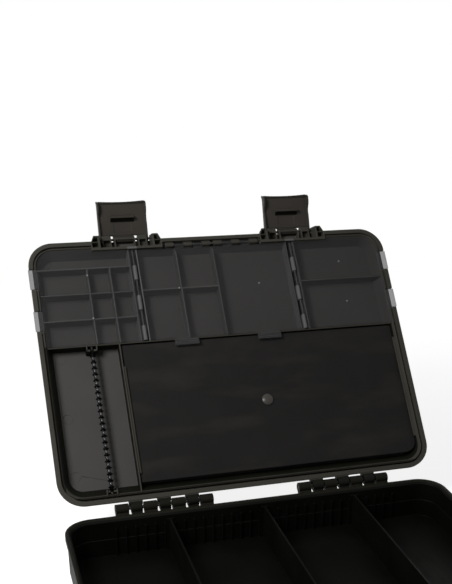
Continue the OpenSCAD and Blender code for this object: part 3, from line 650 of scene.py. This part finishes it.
# %% Foam board
BOARD_LEFT, BOARD_RIGHT = -104.4, 170.7
BOARD_REAR, BOARD_FRONT = 16.6, 150.7
BOARD_TOP, BOARD_LOW = 5.1, 14.95
SIDE_SLOPE, REAR_SLOPE = 4.4, 1.2  # how much the lid's slopes narrow the board's underside
CORNER, EDGE_ROUND = 11, 0.8
SHARP = math.radians(40)
SAME_POINT = 0.001  # points nearer than this, in millimetres, become one
RIGHT_FROM_X, REAR_TO_V = 100, 60  # limits that pick out the right and rear corners
GRID = 8
STUD_X, STUD_V = 28, 84
STUD_GRID, STUD_GRID_HALF = 2.5, 10  # a finer grid round the stud
DIP, DIP_REACH = 0.35, 9
WAVE, WAVE_SIZE = 0.12, 30
WAVE_START, WAVE_RATIO = 1.3, 1.7


def new_piece(name, mesh, material):
    """Puts a finished bmesh, drawn in the lid's frame in millimetres, on the open lid."""
    bmesh.ops.transform(mesh, matrix=LID @ Matrix.Diagonal((MM, MM, MM, 1)), verts=mesh.verts)
    bmesh.ops.recalc_face_normals(mesh, faces=mesh.faces)
    data = bpy.data.meshes.new(name)
    mesh.to_mesh(data)
    mesh.free()
    for face in data.polygons:
        face.use_smooth = True
    data.materials.append(material)
    piece = bpy.data.objects.new(name, data)
    bpy.context.scene.collection.objects.link(piece)
    return piece


def cut_grid(mesh, start, stop, step, normal):
    """Cuts the whole mesh by parallel planes, so that its faces can bend."""
    place = start
    while place < stop:
        point = Vector(normal) * place
        bmesh.ops.bisect_plane(mesh, geom=mesh.verts[:] + mesh.edges[:] + mesh.faces[:],
                               dist=SAME_POINT, plane_co=point, plane_no=normal)
        place += step


def make_board():
    mesh = bmesh.new()
    outline = [(BOARD_LEFT, -BOARD_FRONT), (BOARD_RIGHT, -BOARD_FRONT), (BOARD_RIGHT, -BOARD_REAR),
               (BOARD_LEFT, -BOARD_REAR)]
    corners = [mesh.verts.new((x, y, BOARD_TOP)) for x, y in outline]
    top = bmesh.ops.contextual_create(mesh, geom=corners)["faces"]
    low = bmesh.ops.extrude_face_region(mesh, geom=top)["geom"]
    low = [v for v in low if isinstance(v, bmesh.types.BMVert)]
    bmesh.ops.translate(mesh, verts=low, vec=(0, 0, BOARD_LOW - BOARD_TOP))
    bmesh.ops.translate(mesh, verts=[v for v in low if v.co.x > 0], vec=(-SIDE_SLOPE, 0, 0))
    bmesh.ops.translate(mesh, verts=[v for v in low if v.co.y > -REAR_TO_V], vec=(0, -REAR_SLOPE, 0))
    corner = [e for e in mesh.edges if all(v.co.x > RIGHT_FROM_X and v.co.y > -REAR_TO_V for v in e.verts)]
    bmesh.ops.bevel(mesh, geom=corner, offset=CORNER, segments=8, profile=0.5, affect="EDGES", material=-1)
    bmesh.ops.bevel(mesh, geom=[e for e in mesh.edges if e.calc_face_angle(0) > SHARP],
                    offset=EDGE_ROUND, segments=3, profile=0.5, affect="EDGES", material=-1)
    cut_grid(mesh, BOARD_LEFT + GRID / 2, BOARD_RIGHT, GRID, (1, 0, 0))
    cut_grid(mesh, -BOARD_FRONT + GRID / 2, -BOARD_REAR, GRID, (0, 1, 0))
    for middle, normal in ((STUD_X, (1, 0, 0)), (-STUD_V, (0, 1, 0))):
        cut_grid(mesh, middle - STUD_GRID_HALF, middle + STUD_GRID_HALF + 1, STUD_GRID, normal)
    for v in mesh.verts:
        if v.co.z < BOARD_TOP + EDGE_ROUND:
            away = math.hypot(v.co.x - STUD_X, v.co.y + STUD_V) / DIP_REACH
            wave = math.sin(v.co.x / WAVE_SIZE + WAVE_START) * math.sin(v.co.y / WAVE_SIZE * WAVE_RATIO)
            v.co.z += DIP * math.exp(-away * away) + WAVE * (1 + wave) / 2
    print("foam board:", len(mesh.faces), "faces")
    return new_piece("foam_board", mesh, foam_black)


board = make_board()
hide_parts("rig_board")
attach(board, "lid")

# %% [markdown]
# ## Hook rail
#
# Hook packets hang on this glossy rod, and its rings keep them apart. The real one is a
# turned or moulded rod with rounded rings. One outline, from end to end of the rod, is spun
# about the rod's axis. A chain of cylinders would have hard corners and hidden inner faces.
# Its core glints between the rings and the rings are nearly black, so the gloss depends on
# the distance from the rod's axis.

# %% Ribbed rail's plastic
RAIL_X, RAIL_D = -132, 4.2
RAIL_BLACK = (0.0025, 0.0025, 0.0025), (0.0035, 0.0035, 0.0035)
POLISHED_TO, MATT_FROM = 1.75, 1.85  # distances from the rod's axis
CORE_GLOSS, RING_GLOSS = 0.6, 0.02


def make_rail_plastic():
    material = moulded_plastic("rail_plastic", *RAIL_BLACK, gloss=(0.07, 0.1), grain_mm=1.5,
                               grain_depth=0.003)
    nodes, links = material.node_tree.nodes, material.node_tree.links
    from_rod, across, away = (nodes.new("ShaderNodeVectorMath") for _ in range(3))
    from_rod.operation, across.operation, away.operation = "SUBTRACT", "CROSS_PRODUCT", "LENGTH"
    from_rod.inputs[1].default_value = on_lid(RAIL_X, 0, RAIL_D)
    across.inputs[1].default_value = (on_lid(0, 1, 0) - on_lid(0, 0, 0)).normalized()
    links.new(nodes.new("ShaderNodeTexCoord").outputs["Object"], from_rod.inputs[0])
    links.new(from_rod.outputs["Vector"], across.inputs[0])
    links.new(across.outputs["Vector"], away.inputs[0])
    gloss = spread(nodes, links, away.outputs["Value"], CORE_GLOSS, RING_GLOSS,
                   POLISHED_TO * MM, MATT_FROM * MM)
    links.new(gloss, nodes["Principled BSDF"].inputs["Specular IOR Level"])
    return material


rail_plastic = make_rail_plastic()
print("rail polished up to", POLISHED_TO, "mm from its axis")

# %% Ribbed rail
RAIL_REAR, RAIL_FRONT = 8.9, 150.6
CORE_R, RING_R, RING_HALF = 1.6, 2.8, 0.55
FIRST_RING, RING_PITCH, RINGS = 15.6, 6, 22
RAIL_STEPS = 24
END_ROUND = 0.3
SHOULDER_AT, SHOULDER_LOW, CORNER_LOW = 0.55, 0.08, 0.35  # the rounding of a ring's outline


def rail_outline():
    """Places along the rod and radii, from end to end."""
    points = [(RAIL_REAR, 0), (RAIL_REAR, CORE_R - END_ROUND), (RAIL_REAR + END_ROUND, CORE_R)]
    for i in range(RINGS):
        v = FIRST_RING + i * RING_PITCH
        for along, radius in ((-1, CORE_R), (-1, RING_R - CORNER_LOW),
                              (-SHOULDER_AT, RING_R - SHOULDER_LOW), (0, RING_R),
                              (SHOULDER_AT, RING_R - SHOULDER_LOW),
                              (1, RING_R - CORNER_LOW), (1, CORE_R)):
            points.append((v + along * RING_HALF, radius))
    return points + [(RAIL_FRONT - END_ROUND, CORE_R), (RAIL_FRONT, CORE_R - END_ROUND), (RAIL_FRONT, 0)]


def make_rail():
    mesh = bmesh.new()
    verts = [mesh.verts.new((RAIL_X + radius, -v, RAIL_D)) for v, radius in rail_outline()]
    edges = [mesh.edges.new(pair) for pair in zip(verts, verts[1:])]
    bmesh.ops.spin(mesh, geom=verts + edges, cent=(RAIL_X, 0, RAIL_D), axis=(0, 1, 0), angle=2 * math.pi,
                   steps=RAIL_STEPS, use_merge=True)
    bmesh.ops.remove_doubles(mesh, verts=mesh.verts, dist=SAME_POINT)
    print("rail:", len(mesh.faces), "faces")
    return new_piece("ribbed_rail", mesh, rail_plastic)


rail = make_rail()
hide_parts("hook_rail")
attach(rail, "lid")

# %% [markdown]
# ## Gate marks
#
# Where the clear plastic entered each door's mould, a small stub is left on its outer face.
# It is only a millimetre across, but it catches the light and shows in the photo. Each stub
# is a disc, extruded and pinched a little at its top.
# Its light, milk-white colour is partly its own and partly a painted highlight for that glint.

# %% Gate marks on the clear doors
MARK_R, MARK_H, DOOR_FACE = 0.9, 0.5, 1.0
MARK_SUNK, MARK_PINCH, MARK_SIDES = 0.2, 0.6, 12
# Milk-white frosting, partly painted highlight
STUB_MILK_AND_GLINT = (0.3, 0.3, 0.3), (0.55, 0.55, 0.55)
GATE_MARKS = {"door_left_front": (-126.7, 222.4), "door_left_rear": (-126.7, 178.4),
              "door_middle_left": (-40.4, 203.9), "door_middle_right": (40.4, 203.9),
              "door_right_front": (128.6, 222.4), "door_right_rear": (128.6, 178.4)}


def frosted_stub_glint(name):
    """Clear plastic gone milk-white where the stub was broken off, and painted light for the glint it
    catches.
    """
    material, nodes, links = new_material(name)
    shader = nodes["Principled BSDF"]
    shader.inputs["Alpha"].default_value = 0.75
    coords = nodes.new("ShaderNodeTexCoord").outputs["Object"]
    cracks = noise(nodes, links, coords, size_mm=0.3)
    milk = tint(nodes, links, spread(nodes, links, cracks, 0, 1), *STUB_MILK_AND_GLINT)
    links.new(milk, shader.inputs["Base Color"])
    links.new(spread(nodes, links, cracks, 0.4, 0.6), shader.inputs["Roughness"])
    links.new(raise_surface(nodes, links, cracks, depth_mm=0.05), shader.inputs["Normal"])
    return material


milk_and_glint = frosted_stub_glint("frosted_stub_glint")


def make_mark(door, x, v):
    mesh = bmesh.new()
    ring = bmesh.ops.create_circle(mesh, cap_ends=True, radius=MARK_R, segments=MARK_SIDES)["verts"]
    bmesh.ops.translate(mesh, verts=ring, vec=(x, -v, DOOR_FACE + MARK_SUNK))
    top = bmesh.ops.extrude_face_region(mesh, geom=mesh.faces[:])["geom"]
    top = [g for g in top if isinstance(g, bmesh.types.BMVert)]
    bmesh.ops.translate(mesh, verts=top, vec=(0, 0, -MARK_H - MARK_SUNK))
    bmesh.ops.scale(mesh, verts=top, vec=(MARK_PINCH, MARK_PINCH, 1), space=Matrix.Translation((-x, v, 0)))
    mark = new_piece("gate_mark_" + door.removeprefix("door_"), mesh, milk_and_glint)
    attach(mark, door)


for door, place in GATE_MARKS.items():
    make_mark(door, *place)
print("gate marks:", len(GATE_MARKS))
